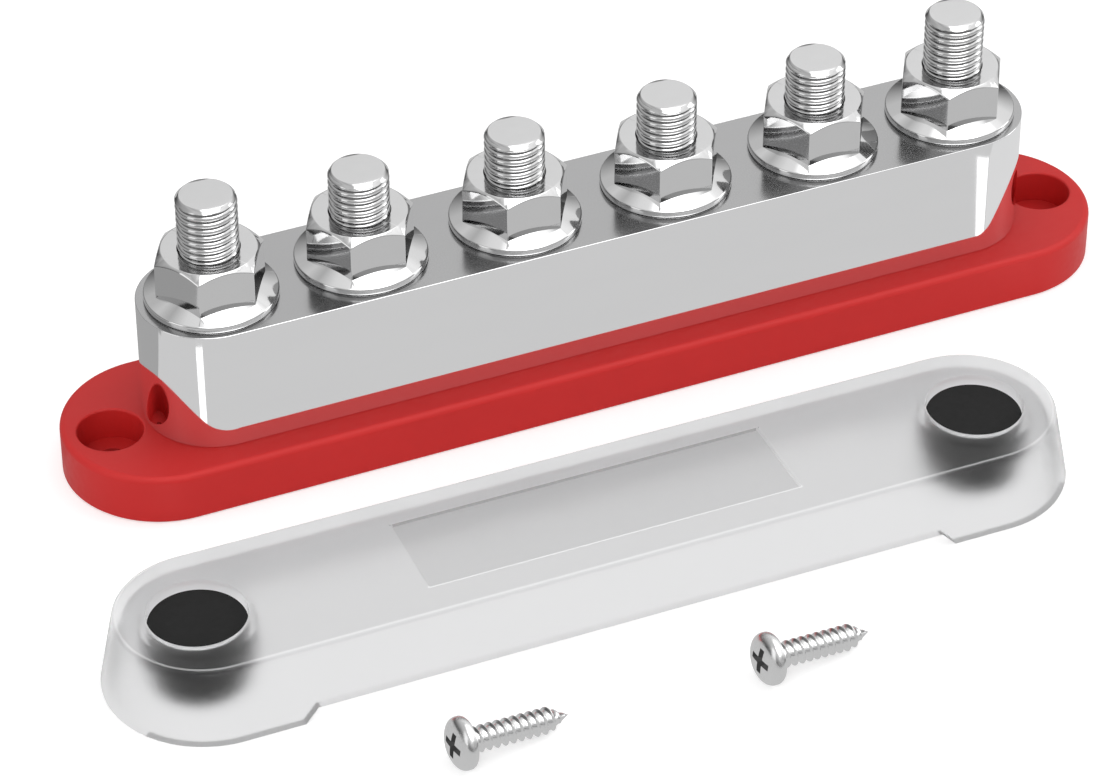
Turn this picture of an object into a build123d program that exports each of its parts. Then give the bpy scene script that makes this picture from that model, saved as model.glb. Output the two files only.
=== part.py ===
"""Bus bar: a solid metal bar with clamping studs on a moulded insulating base.

The clear cover is off and lies in front of the base, with the two mounting screws in front of it.
Millimetres, Z up, X along the bar. The origin is the middle of the base's underside.
"""

import os
from math import atan2, cos, degrees, radians, tan

from build123d import *

# Studs: M10, screwed into the bar until they bottom in their holes
STUD_COUNT = 6
STUD_DIAMETER = 10.0
STUD_CHAMFER = 0.7
STUD_SEAT_DEPTH = 14.0
STUD_HOLE_COUNTERSINK = 0.7
END_STUD_HEIGHT = 19.45
MIDDLE_STUD_HEIGHT = 17.2
STUD_PITCH = 27.05
END_STUD_PITCH = 25.7

# Bar
BAR_WIDTH = 23.8
BAR_HEIGHT = 21.8
BAR_END_REACH = 12.3
BAR_EDGE_ROUND = 0.35

# Clamping nuts: one-piece flange nuts
NUT_ACROSS_FLATS = 16.1
NUT_HEIGHT = 9.3
NUT_FLANGE_DIAMETER = 21.9
NUT_FLANGE_RIM = 1.3
NUT_FLANGE_RIM_ROUND = 0.35
NUT_SHOULDER_HEIGHT = 1.95
NUT_SHOULDER_MARGIN = 0.1
NUT_CROWN_SLOPE = 39.0
NUT_CROWN_LAND = 0.35
NUT_COUNTERSINK = 0.2

# Base
BASE_THICKNESS = 8.9
BASE_BORDER = 4.75
BASE_TOP_ROUND = 1.1
BASE_FOOT_CHAMFER = 0.4
EAR_WALL = 2.4
BAR_TO_COUNTERBORE = 0.8
COUNTERBORE_DEPTH = 5.7
COUNTERBORE_ROUND = 0.4

# Mounting screws: pan-head tapping screws that hold the base down
SCREW_DIAMETER = 4.2
SCREW_LENGTH = 18.0
SCREW_POINT = 3.6
SCREW_HEAD_DIAMETER = 8.4
SCREW_HEAD_HEIGHT = 2.4
SCREW_HEAD_RIM = 0.7
CROSS_SPAN = 4.4
CROSS_SLOT = 1.0
CROSS_DEPTH = 1.5
CROSS_POINT = 1.8

# Fixing screws: hold the bar on the base from beneath
FIXING_DIAMETER = 6.0
FIXING_GRIP = 12.0
FIXING_HEAD_DIAMETER = 10.0
FIXING_HEAD_HEIGHT = 4.0
FIXING_CHAMFER = 0.5
FIXING_DRIVE = 4.0
FIXING_DRIVE_DEPTH = 2.0
FIXING_HEAD_SINK = 4.6

# Cover: clear moulding with a drafted skirt
COVER_HEIGHT = 13.0
COVER_WALL = 1.6
COVER_TOP = 2.0
COVER_DRAFT = 10.7
COVER_EDGE_ROUND = 0.9
COVER_INNER_ROUND = 0.6
COVER_END_OVERHANG = 3.1
COVER_SIDE_OVERHANG = 4.8
NOTCH_LENGTH = 110.4
NOTCH_DEPTH = 2.25
NOTCH_END_SLOPE = 45.0
PANEL_LENGTH = 63.0
PANEL_WIDTH = 16.4
PANEL_DEPTH = 0.5
PANEL_CORNER = 0.3
COLLAR_WALL = 1.3
COLLAR_DEPTH = 7.2
COLLAR_LIP = 1.0

# Stud sockets: soft plugs in the cover that grip the two end studs
SOCKET_WALL = 2.5
SOCKET_GRIP = 0.1
SOCKET_BORE_DEPTH = 8.4
SOCKET_SHOULDER = 0.4
SOCKET_SINK = 1.8
SOCKET_LENGTH = 10.7
SOCKET_MOUTH_CHAMFER = 0.6
SOCKET_EDGE_ROUND = 0.4

# Clearances, all on the radius
THREAD_CLEARANCE = 0.05
MOUNT_HOLE_CLEARANCE = 0.3
HEAD_CLEARANCE = 1.2
FIXING_CLEARANCE = 0.3
FIXING_HEAD_CLEARANCE = 0.7
SOCKET_CLEARANCE = 0.05

# Room left below the end of a screw, and how far a cut runs past the surface it opens
HOLE_END_GAP = 1.0
CUT_PAST = 1.0

# Where the loose pieces lie
COVER_X = -22.5
COVER_GAP = 20.5
COVER_TURN = -0.4
SCREW_GAPS = {"left": 17.2, "right": 18.0}
SCREW_TURN = 7.6
SCREW_XS = {"left": -58.85, "right": -8.4}

# Sizes that follow from those above
SIDES = {"left": -1, "right": 1}
inner_end = (STUD_COUNT - 3) / 2 * STUD_PITCH
end_stud_x = inner_end + END_STUD_PITCH
inner_xs = [i * STUD_PITCH - inner_end for i in range(STUD_COUNT - 2)]
stud_xs = [-end_stud_x] + inner_xs + [end_stud_x]
stud_heights = [END_STUD_HEIGHT] + [MIDDLE_STUD_HEIGHT] * len(inner_xs) + [END_STUD_HEIGHT]
fixing_x = inner_end - STUD_PITCH / 2
bar_length = 2 * (end_stud_x + BAR_END_REACH)
bar_top = BASE_THICKNESS + BAR_HEIGHT
base_width = BAR_WIDTH + 2 * BASE_BORDER
counterbore = SCREW_HEAD_DIAMETER + 2 * HEAD_CLEARANCE
mount_hole = SCREW_DIAMETER + 2 * MOUNT_HOLE_CLEARANCE
mount_hole_x = bar_length / 2 + BAR_TO_COUNTERBORE + counterbore / 2
base_length = 2 * (mount_hole_x + counterbore / 2 + EAR_WALL)
socket_bore = STUD_DIAMETER - 2 * SOCKET_GRIP
socket_body = socket_bore + 2 * SOCKET_WALL
socket_head = socket_body + 2 * SOCKET_SHOULDER
socket_top = COVER_HEIGHT - SOCKET_SINK
collar_bottom = COVER_HEIGHT - COLLAR_DEPTH
cover_length = bar_length + 2 * COVER_END_OVERHANG
cover_width = BAR_WIDTH + 2 * COVER_SIDE_OVERHANG
cover_y = -(base_width / 2 + COVER_GAP + cover_width / 2)


def rod(diameter, bottom, top):
    """Round bar on the Z axis from one height to another."""
    return Pos(0, 0, bottom) * Cylinder(diameter / 2, top - bottom, align=(Align.CENTER, Align.CENTER, Align.MIN))


def turned(*points):
    """Solid turned about the Z axis from (radius, height) points."""
    return revolve(make_face(Plane.XZ * Polyline(*points, close=True)), Axis.Z)


def slot_block(length, width, height, taper=0.0):
    """Block with full half-round ends, standing on z = 0 and leaning in by the taper."""
    return extrude(SlotOverall(length, width), height, taper=taper)


def base():
    """Insulating base: full-round ears with counterbored holes, screw pockets beneath."""
    body = slot_block(base_length, base_width, BASE_THICKNESS)
    body = fillet(body.edges().group_by(Axis.Z)[-1], BASE_TOP_ROUND)
    body = chamfer(body.edges().group_by(Axis.Z)[0], BASE_FOOT_CHAMFER)
    ear_hole = rod(mount_hole, -CUT_PAST, BASE_THICKNESS)
    ear_hole += rod(counterbore, BASE_THICKNESS - COUNTERBORE_DEPTH, BASE_THICKNESS + CUT_PAST)
    pocket = rod(FIXING_HEAD_DIAMETER + 2 * FIXING_HEAD_CLEARANCE, -CUT_PAST, FIXING_HEAD_SINK)
    pocket += rod(FIXING_DIAMETER + 2 * FIXING_CLEARANCE, -CUT_PAST, BASE_THICKNESS + CUT_PAST)
    for side in SIDES.values():
        body -= Pos(side * mount_hole_x, 0, 0) * ear_hole
        body -= Pos(side * fixing_x, 0, 0) * pocket
    mouths = body.edges().group_by(Axis.Z)[-1].filter_by(
        lambda edge: edge.geom_type == GeomType.CIRCLE and abs(edge.radius - counterbore / 2) < COUNTERBORE_ROUND
    )
    return fillet(mouths, COUNTERBORE_ROUND)


def bus_bar():
    """Solid bar with half-round ends, tapped for the studs above and the fixing screws below."""
    body = slot_block(bar_length, BAR_WIDTH, BAR_HEIGHT)
    body = fillet(body.edges().group_by(Axis.Z)[-1] + body.edges().group_by(Axis.Z)[0], BAR_EDGE_ROUND)
    bore = STUD_DIAMETER + 2 * THREAD_CLEARANCE
    mouth = bore / 2 + STUD_HOLE_COUNTERSINK
    tapped = rod(bore, BAR_HEIGHT - STUD_SEAT_DEPTH, BAR_HEIGHT + CUT_PAST)
    tapped += turned((0, BAR_HEIGHT - mouth), (mouth, BAR_HEIGHT), (mouth, BAR_HEIGHT + CUT_PAST),
                     (0, BAR_HEIGHT + CUT_PAST))
    below = rod(FIXING_DIAMETER + 2 * THREAD_CLEARANCE, -CUT_PAST, FIXING_GRIP + HOLE_END_GAP)
    for x in stud_xs:
        body -= Pos(x, 0, 0) * tapped
    for side in SIDES.values():
        body -= Pos(side * fixing_x, 0, 0) * below
    return Pos(0, 0, BASE_THICKNESS) * body


def stud(height):
    """Stud with chamfered ends, standing on the floor of its hole."""
    body = rod(STUD_DIAMETER, bar_top - STUD_SEAT_DEPTH, bar_top + height)
    return chamfer(body.edges().filter_by(GeomType.CIRCLE), STUD_CHAMFER)


def flange_nut():
    """Hex flange nut on z = 0 with a corner towards +X: sloped flange, crowned hexagon, countersunk bore."""
    rim = NUT_FLANGE_DIAMETER / 2
    edge = rim - NUT_FLANGE_RIM_ROUND
    flat = NUT_ACROSS_FLATS / 2
    corner = flat / cos(radians(30))
    outside = corner + CUT_PAST
    land = flat - NUT_CROWN_LAND
    bore = STUD_DIAMETER / 2 + THREAD_CLEARANCE
    mouth = bore + NUT_COUNTERSINK
    flange = turned(
        (0, 0),
        (edge, 0),
        (rim, NUT_FLANGE_RIM_ROUND),
        (rim, NUT_FLANGE_RIM - NUT_FLANGE_RIM_ROUND),
        (edge, NUT_FLANGE_RIM),
        (corner + NUT_SHOULDER_MARGIN, NUT_SHOULDER_HEIGHT),
        (0, NUT_SHOULDER_HEIGHT),
    )
    hexagon = extrude(RegularPolygon(flat, 6, major_radius=False), NUT_HEIGHT)
    crown = turned(
        (0, 0),
        (outside, 0),
        (outside, NUT_HEIGHT - (outside - land) * tan(radians(NUT_CROWN_SLOPE))),
        (land, NUT_HEIGHT),
        (0, NUT_HEIGHT),
    )
    hole = turned(
        (0, -CUT_PAST),
        (mouth, -CUT_PAST),
        (mouth, 0),
        (bore, NUT_COUNTERSINK),
        (bore, NUT_HEIGHT - NUT_COUNTERSINK),
        (mouth, NUT_HEIGHT),
        (mouth, NUT_HEIGHT + CUT_PAST),
        (0, NUT_HEIGHT + CUT_PAST),
    )
    return flange + (hexagon & crown) - hole


def fixing_screw():
    """Cap screw with its head in the base's pocket and its shank up in the bar."""
    underside = FIXING_HEAD_SINK - FIXING_HEAD_HEIGHT
    head = rod(FIXING_HEAD_DIAMETER, underside, FIXING_HEAD_SINK)
    head = chamfer(head.edges().group_by(Axis.Z)[0], FIXING_CHAMFER)
    shank = rod(FIXING_DIAMETER, FIXING_HEAD_SINK, BASE_THICKNESS + FIXING_GRIP)
    shank = chamfer(shank.edges().group_by(Axis.Z)[-1], FIXING_CHAMFER)
    drive = extrude(RegularPolygon(FIXING_DRIVE / 2, 6, major_radius=False), FIXING_DRIVE_DEPTH)
    return head + shank - Pos(0, 0, underside) * drive


def cover():
    """Clear tray upside down: drafted skirt notched on both sides, recessed panel, a collar for each socket."""
    ceiling = COVER_HEIGHT - COVER_TOP
    walls = 2 * COVER_WALL / cos(radians(COVER_DRAFT))
    body = slot_block(cover_length, cover_width, COVER_HEIGHT, COVER_DRAFT)
    body = fillet(body.edges().group_by(Axis.Z)[-1], COVER_EDGE_ROUND)
    inside = slot_block(cover_length - walls, cover_width - walls, ceiling, COVER_DRAFT)
    body -= fillet(inside.edges().group_by(Axis.Z)[-1], COVER_INNER_ROUND)
    seat = socket_head + 2 * SOCKET_CLEARANCE
    collar = rod(seat + 2 * COLLAR_WALL, collar_bottom, COVER_HEIGHT - SOCKET_SINK)
    opening = rod(seat, collar_bottom + COLLAR_LIP, COVER_HEIGHT + CUT_PAST)
    opening += rod(socket_body + 2 * SOCKET_CLEARANCE, collar_bottom - CUT_PAST, COVER_HEIGHT)
    for side in SIDES.values():
        body += Pos(side * end_stud_x, 0, 0) * collar
        body -= Pos(side * end_stud_x, 0, 0) * opening
    run = NOTCH_DEPTH / tan(radians(NOTCH_END_SLOPE))
    foot = NOTCH_LENGTH / 2 + run
    crest = NOTCH_LENGTH / 2 - run
    notch = make_face(Plane.XZ * Polyline(
        (-foot, -NOTCH_DEPTH), (foot, -NOTCH_DEPTH), (crest, NOTCH_DEPTH), (-crest, NOTCH_DEPTH), close=True
    ))
    body -= extrude(notch, cover_width, both=True)
    panel = extrude(RectangleRounded(PANEL_LENGTH, PANEL_WIDTH, PANEL_CORNER), PANEL_DEPTH + CUT_PAST)
    return body - Pos(0, 0, COVER_HEIGHT - PANEL_DEPTH) * panel


def stud_socket():
    """Soft plug seated on its collar's lip, with a blind bore open beneath for the stud."""
    bottom = socket_top - SOCKET_LENGTH
    shoulder = collar_bottom + COLLAR_LIP
    bore = socket_bore / 2
    mouth = bore + SOCKET_MOUTH_CHAMFER
    body = rod(socket_body, bottom, shoulder) + rod(socket_head, shoulder, socket_top)
    body = fillet(body.edges().group_by(Axis.Z)[0], SOCKET_EDGE_ROUND)
    return body - turned(
        (0, bottom - CUT_PAST),
        (mouth, bottom - CUT_PAST),
        (mouth, bottom),
        (bore, bottom + SOCKET_MOUTH_CHAMFER),
        (bore, bottom + SOCKET_BORE_DEPTH),
        (0, bottom + SOCKET_BORE_DEPTH),
    )


def mounting_screw():
    """Tapping screw along +X from the underside of its head: domed pan head with a cross recess, pointed tip."""
    rim = SCREW_HEAD_DIAMETER / 2
    thread_end = SCREW_LENGTH - SCREW_POINT
    dome = SCREW_HEAD_HEIGHT - SCREW_HEAD_RIM
    ball = (rim**2 + dome**2) / (2 * dome)
    head = rod(SCREW_HEAD_DIAMETER, -SCREW_HEAD_HEIGHT, 0) & (Pos(0, 0, ball - SCREW_HEAD_HEIGHT) * Sphere(ball))
    shank = rod(SCREW_DIAMETER, 0, thread_end)
    point = turned((0, thread_end), (SCREW_DIAMETER / 2, thread_end), (0, SCREW_LENGTH))
    recess_floor = CROSS_DEPTH - SCREW_HEAD_HEIGHT
    wing = make_face(Plane.XZ * Polyline(
        (-CROSS_SPAN / 2, -SCREW_HEAD_HEIGHT), (CROSS_SPAN / 2, -SCREW_HEAD_HEIGHT),
        (CROSS_POINT / 2, recess_floor), (-CROSS_POINT / 2, recess_floor), close=True
    ))
    blade = extrude(wing, CROSS_SLOT / 2, both=True)
    return Rot(0, 90, 0) * (head + shank + point - blade - Rot(0, 0, 90) * blade)


def laid(screw, x, gap):
    """A mounting screw lying on the floor, on its head's rim and the end of its full thread."""
    rim = SCREW_HEAD_DIAMETER / 2
    droop = atan2(rim - SCREW_DIAMETER / 2, SCREW_LENGTH - SCREW_POINT)
    y = cover_y - cover_width / 2 - gap
    return Pos(x, y, rim * cos(droop)) * Rot(0, 0, SCREW_TURN) * Rot(0, degrees(droop), 0) * screw


nodes = {"base": base(), "bus_bar": bus_bar()}
for number, (x, height) in enumerate(zip(stud_xs, stud_heights), 1):
    nodes[f"stud_{number}"] = Pos(x, 0, 0) * stud(height)
    nodes[f"clamp_nut_{number}"] = Pos(x, 0, bar_top) * flange_nut()
cover_place = Pos(COVER_X, cover_y, 0) * Rot(0, 0, COVER_TURN)
nodes["cover"] = cover_place * cover()
for name, side in SIDES.items():
    nodes[f"fixing_screw_{name}"] = Pos(side * fixing_x, 0, 0) * fixing_screw()
    nodes[f"stud_socket_{name}"] = cover_place * Pos(side * end_stud_x, 0, 0) * stud_socket()
    nodes[f"mounting_screw_{name}"] = laid(mounting_screw(), SCREW_XS[name], SCREW_GAPS[name])

os.makedirs("parts", exist_ok=True)
for name, shape in nodes.items():
    export_step(shape, f"parts/{name}.step")
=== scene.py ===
"""Looks of the bus bar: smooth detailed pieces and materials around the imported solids.

Sizes are in millimetres, as in the part's source, and every mesh is scaled to metres when it is made. Only the floor,
the dome, the softboxes and the lamps are written in metres.
"""

from math import atan2, ceil, cos, pi, radians, sin, sqrt, tan

import bmesh
import bpy
from mathutils import Matrix, Vector
from mathutils.geometry import tessellate_polygon


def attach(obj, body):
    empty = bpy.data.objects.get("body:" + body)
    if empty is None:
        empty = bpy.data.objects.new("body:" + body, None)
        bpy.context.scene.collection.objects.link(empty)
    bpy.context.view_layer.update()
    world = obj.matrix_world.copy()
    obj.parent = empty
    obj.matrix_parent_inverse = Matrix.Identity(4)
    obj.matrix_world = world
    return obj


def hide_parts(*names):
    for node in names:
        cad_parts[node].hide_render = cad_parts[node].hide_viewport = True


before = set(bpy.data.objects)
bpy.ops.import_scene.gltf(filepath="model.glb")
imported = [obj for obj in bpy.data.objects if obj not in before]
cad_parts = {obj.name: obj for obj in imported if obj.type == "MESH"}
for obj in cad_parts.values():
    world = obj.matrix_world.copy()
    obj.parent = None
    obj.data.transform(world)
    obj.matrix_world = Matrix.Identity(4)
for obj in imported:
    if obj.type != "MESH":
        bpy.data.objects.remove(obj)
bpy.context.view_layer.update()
MM = 0.001
SIDES = {"left": -1, "right": 1}
ROOT = "bar_assembly"

# Steps around a circle, or around one half-round end: large faces, smaller ones, the pockets, and hidden ones
LARGE, SMALL, POCKET, HIDDEN = 96, 72, 64, 48

# Studs. The thread starts inside the bar, and a turned end with a softened edge takes over just under the top.
STUD_XS = (-66.275, -40.575, -13.525, 13.525, 40.575, 66.275)
STUD_TOPS = (50.15, 47.9, 47.9, 47.9, 47.9, 50.15)
STUD_R, STUD_CHAMFER, STUD_SEAT_DEPTH = 5.0, 0.7, 14.0
STUD_END, STUD_EDGE = 0.3, 0.05
THREAD_PITCH, THREAD_DEPTH, THREAD_FULLNESS = 1.25, 0.6, 2.3
THREAD_POINTS, THREAD_TURN_STEPS = 14, 60
THREAD_START, THREAD_FOOT = -2.5, -1.2
ROD_TOP, ROD_BEVEL = -1.25, (0.8, 0.35)

# Bar
BAR_LENGTH, BAR_WIDTH, BAR_ROUND = 157.15, 23.8, 0.14
BAR_FOOT, BAR_TOP = 8.9, 30.7
TAPPED_R, TAPPED_MOUTH, TAPPED_MOUTH_DEPTH = 5.05, 5.75, 0.7
FIXING_X, FIXING_R, FIXING_DEPTH = 27.05, 3.05, 13.0

# Base
BASE_LENGTH, BASE_WIDTH, BASE_TOP_ROUND, BASE_FOOT = 185.15, 33.3, 1.1, 0.4
EAR_X, EAR_BORE, EAR_SEAT_Z, EAR_HOLE, EAR_MOUTH = 84.775, 5.4, 3.2, 2.4, 0.4
POCKET_R, POCKET_TOP, POCKET_HOLE = 5.7, 4.6, 3.3

# Nuts. A cone cuts the hexagon's top, and its edges with the hexagon's faces and with the flat land are softened.
NUT_FLAT, NUT_HEIGHT, NUT_CORNER = 8.05, 9.3, 0.22
NUT_LAND, NUT_SLOPE = 7.7, radians(39)
NUT_SOFT, NUT_SOFT_DROP, NUT_SOFT_STEPS, NUT_SOFT_POWER = 0.16, 0.128, (0.35, 0.7, 1.0), 0.8
LAND_OUT, LAND_IN, LAND_DROP = 0.08, 0.06, 0.05
FLANGE_R, FLANGE_RIM, FLANGE_ROUND, FLANGE_SLOPE = 10.95, 1.3, 0.35, radians(23)
NUT_BORE, NUT_MOUTH, NUT_MOUTH_DEPTH = 5.05, 5.12, 0.2

# Cover
COVER_AT, COVER_TURN = (-22.5, -53.85), radians(-0.4)
COVER_LENGTH, COVER_WIDTH, COVER_HEIGHT = 163.35, 33.4, 13.0
COVER_WALL, COVER_CEILING, COVER_DRAFT = 1.6, 11.0, radians(10.7)
COVER_ROUND, COVER_INNER_ROUND, RIM_ROUND, RIM_ROUND_MIDDLE = 0.9, 0.6, 0.18, 0.054
NOTCH_HALF, NOTCH_DEPTH, NOTCH_SOFT, NOTCH_REACH = 55.2, 2.25, 0.35, 4
STATION_STEP, STATION_COUNT = 6.5, 15
PANEL_HALF, PANEL_DEPTH, PANEL_CORNER = (31.5, 8.2), 0.5, 0.3
PANEL_LIP, PANEL_LIP_DEPTH, PANEL_DRAFT, PANEL_SIDE = 0.3, 0.03, 0.12, 0.1
# The front of each seat's wall is painted as a highlight from under its mouth down to SEAT_LIT below the top.
SEAT_R, LIP_R, LIP_Z, SEAT_MOUTH, SEAT_LIT = 7.85, 7.45, 6.8, 0.2, 1.0
COLLAR_R, COLLAR_FOOT, COLLAR_BEVEL_IN, COLLAR_BEVEL_OUT = 9.15, 5.8, 0.1, 0.15

# Bands of the cover's faces, counted along its section from the inner rim, that have a material of their own, painted
# as highlight or shade
RIM_BAND, HIGHLIGHT_BANDS = 2, (11, 12)
# RIM_MARGIN and RIM_FRONT bound the rim's painted highlight line and its painted shade.
RIM_MARGIN, RIM_FRONT = 0.4, -9

# Sockets
SOCKET_FOOT, SOCKET_TOP, SOCKET_BODY, SOCKET_HEAD = 0.5, 11.2, 7.4, 7.8
SOCKET_BORE, SOCKET_ROOF, SOCKET_MOUTH = 4.9, 8.9, 0.6
SOCKET_FOOT_ROUND, SOCKET_TOP_ROUND = 0.4, 0.3

# Mounting screws. The thread is given over one pitch as (part of the pitch, part of its height), and it fades faster
# than the point narrows.
SCREW_AT, SCREW_TURN = {"left": (-58.85, -87.75), "right": (-8.4, -88.55)}, radians(7.6)
SCREW_R, SCREW_CORE, SCREW_LENGTH, SCREW_POINT, SCREW_PITCH = 2.1, 1.58, 18.0, 3.6, 1.41
SCREW_THREAD = ((0.0, 0.0), (0.2, 0.0), (0.44, 0.0), (0.52, 0.1), (0.66, 0.92), (0.71, 1.0), (0.76, 0.92), (0.9, 0.1))
SCREW_TURN_STEPS, SCREW_TIP, SCREW_FADE, SHANK_START = 40, 0.02, 1.6, -0.4
HEAD_R, HEAD_HEIGHT, HEAD_RIM, HEAD_EDGE, HEAD_EDGE_MIDDLE = 4.2, 2.4, 0.7, 0.3, 0.09
CROWN_STEPS, CROWN_POWERS = 16, (0.82, 0.9)
CROSS_SPAN, CROSS_FLOOR, CROSS_SLOT, CROSS_DEPTH = 4.4, 1.8, 1.0, 1.5
CROSS_RAISED, CROSS_FLARE, CROSS_WIDTHS = 0.4, 1.2, (1.15, 0.8)

# Camera: the photograph's viewing angle
PHOTO_WIDTH, PHOTO_HEIGHT = 1096, 783
CAM_AZ, CAM_EL, CAM_ROLL = -0.404, 0.652, -0.0035
CAM_DISTANCE, CAM_FOCAL_PX, CAM_CENTRE, CAM_TARGET = 754.6, 4462.4, (547.74, 388.5), (-7.81, 0.0, -6.15)
CAM_SENSOR, CAM_CLIP = 36.0, (0.01, 20.0)

# Stage. The dome's levels go by height, as (sine of the elevation, level). A spot on it is (direction, cosine at its
# edge, cosine where it is full, level), a softbox (direction, width, height, level), a floor card (outline in
# millimetres, level) and a lamp (place, power).
FLOOR_HALF, FLOOR_GLOW, FLOOR_MIRRORED = 2.0, 0.4, 0.6
DOME_RADIUS, DOME_FOOT, DOME_ACROSS, DOME_UP = 2.6, -4, 64, 24
DOME_LEVEL, DOME_FRONT, DOME_RIGHT = 0.71, 0.12, 0.3
DOME_LEVELS = ((0.0, 0.12), (0.1, 0.14), (0.3, 0.6), (0.5, 1.0), (0.64, 1.03), (0.74, 1.25), (0.84, 0.85),
               (0.93, 1.35), (1.0, 1.35))
SPOTS = (((0.03, -0.4, 0.916), 0.885, 0.955, 2.8), ((0.3, 0.05, 0.95), 0.91, 0.955, 1.0))
SOFTBOX_DISTANCE = 1.2
SOFTBOXES = {
    "box_front": ((0.3, -0.9, 0.33), 1.1, 0.6, 0.45),
    "box_left": ((-0.93, -0.2, 0.36), 0.5, 0.8, 1.1),
    "box_right": ((0.95, -0.16, 0.3), 0.4, 0.8, 2.0),
}
CARD_LIFT = 0.0001
FLOOR_CARDS = {
    "dim_left": ([(-116, 2.5), (-116, 7), (-70, 7), (-70, 120), (-220, 120), (-220, 2.5)], 0.37),
    "strip_left": ([(-78.5, -21.5), (-81, -19.5), (-99.5, -38.5), (-93, -43.5)], 1.3),
    "strip_right": ([(73.5, -24.5), (77, -22.5), (94.5, -43), (86.5, -48.5)], 1.3),
    "light_right": ([(77.5, -22), (95.5, -42.5), (150, -40), (150, 60), (80, 60)], 0.71),
}
LAMPS = {"key": ((-0.5, -1.0, 0.8), 4.0), "fill": ((0.7, -0.2, 0.9), 2.0)}
LAMP_SIZE, LAMP_TARGET = 0.7, (0, -0.03, 0)
WORLD_LEVEL = 0.85


# ---------------------------------------------------------------- mesh helpers

def arc(cx, cy, r, start, end, steps):
    """Points on a circle between two angles in degrees, ends included."""
    turn = [radians(start + (end - start) * i / steps) for i in range(steps + 1)]
    return [(cx + r * cos(t), cy + r * sin(t)) for t in turn]


def ring(r, z, steps=LARGE, at=(0.0, 0.0)):
    """Points of a level circle."""
    return [(at[0] + r * cos(2 * pi * i / steps), at[1] + r * sin(2 * pi * i / steps), z) for i in range(steps)]


def slot_ring(length, width, z, steps=64, stations=()):
    """Level outline with half-round ends; stations are extra points on its straight sides."""
    r = width / 2
    c = length / 2 - r
    side = sorted(stations)
    flat = arc(c, 0, r, -90, 90, steps) + [(x, r) for x in reversed(side)]
    flat += arc(-c, 0, r, 90, 270, steps) + [(x, -r) for x in side]
    return [(x, y, z) for x, y in flat]


def quarter(r, steps=5):
    """(inset, rise) pairs that round an edge from a wall to a top face."""
    return [(r * (1 - cos(t)), r * sin(t)) for t in (pi / 2 * i / steps for i in range(steps + 1))]


class Builder:
    """Collects rings of points and the faces between them."""

    def __init__(self):
        self.bm = bmesh.new()
        self.tag = 0

    def ring(self, points):
        return [self.bm.verts.new(p) for p in points]

    def face(self, verts):
        f = self.bm.faces.new(verts)
        f.material_index = self.tag

    def skin(self, *rings):
        """Quads between rings of equal length, given as points or as vertices."""
        rings = [r if not isinstance(r[0], tuple) else self.ring(r) for r in rings]
        for a, b in zip(rings, rings[1:]):
            for i in range(len(a)):
                j = (i + 1) % len(a)
                self.face((a[i], a[j], b[j], b[i]))
        return rings

    def cap(self, outer, *holes):
        """Flat face inside outer, around the holes."""
        loops = [outer, *holes]
        verts = [v for loop in loops for v in loop]
        for tri in tessellate_polygon([[v.co for v in loop] for loop in loops]):
            self.face([verts[i] for i in tri])

    def lathe(self, profile, steps=LARGE, at=(0.0, 0.0)):
        """Surface turned about a vertical axis from (radius, height) points; radius 0 closes an end."""
        rings = []
        for r, z in profile:
            rings.append(self.ring([(at[0], at[1], z)]) if r == 0 else self.ring(ring(r, z, steps, at)))
        for a, b in zip(rings, rings[1:]):
            if len(a) == 1 or len(b) == 1:
                tip, circle = (a[0], b) if len(a) == 1 else (b[0], a)
                for i in range(len(circle)):
                    self.face((circle[i], circle[(i + 1) % len(circle)], tip))
            else:
                self.skin(a, b)
        return rings

    def done(self, name, materials, matrix=None, smooth=32.0, at=None):
        """The finished object: outward faces, sharp edges by angle, flat faces kept flat."""
        bm = self.bm
        bmesh.ops.remove_doubles(bm, verts=bm.verts, dist=1e-5)
        bmesh.ops.recalc_face_normals(bm, faces=bm.faces)
        bmesh.ops.transform(bm, matrix=Matrix.Scale(MM, 4) @ (matrix or Matrix.Identity(4)), verts=bm.verts)
        mesh = bpy.data.meshes.new(name)
        bm.to_mesh(mesh)
        bm.free()
        return dressed(name, mesh, materials, smooth, at)


def dressed(name, mesh, materials, smooth, at=None):
    """An object from the mesh, smooth except at edges sharper than the angle in degrees."""
    for material in materials:
        mesh.materials.append(material)
    mesh.polygons.foreach_set("use_smooth", [True] * len(mesh.polygons))
    mesh.set_sharp_from_angle(angle=radians(smooth))
    thing = in_scene(name, mesh)
    if at:
        thing.location = Vector(at) * MM
    weighted = thing.modifiers.new("weighted", "WEIGHTED_NORMAL")
    weighted.keep_sharp = True
    baked = evaluated(thing)
    thing.modifiers.clear()
    thing.data = baked
    return thing


def in_scene(name, data):
    """A new object in the scene."""
    thing = bpy.data.objects.new(name, data)
    bpy.context.scene.collection.objects.link(thing)
    return thing


def evaluated(thing):
    """The object's mesh with its modifiers applied."""
    bpy.context.view_layer.update()
    return bpy.data.meshes.new_from_object(thing.evaluated_get(bpy.context.evaluated_depsgraph_get()))


def settle(piece, body, slot, *replaced):
    """Puts the piece on its body and in the place of its solids. The slot is not used."""
    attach(piece, body)
    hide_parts(*replaced)
    return piece


# ---------------------------------------------------------------- materials

# Sockets of a Mix node that mixes colours
FACTOR, COLOUR_A, COLOUR_B, MIXED = 0, 6, 7, 2


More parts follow.
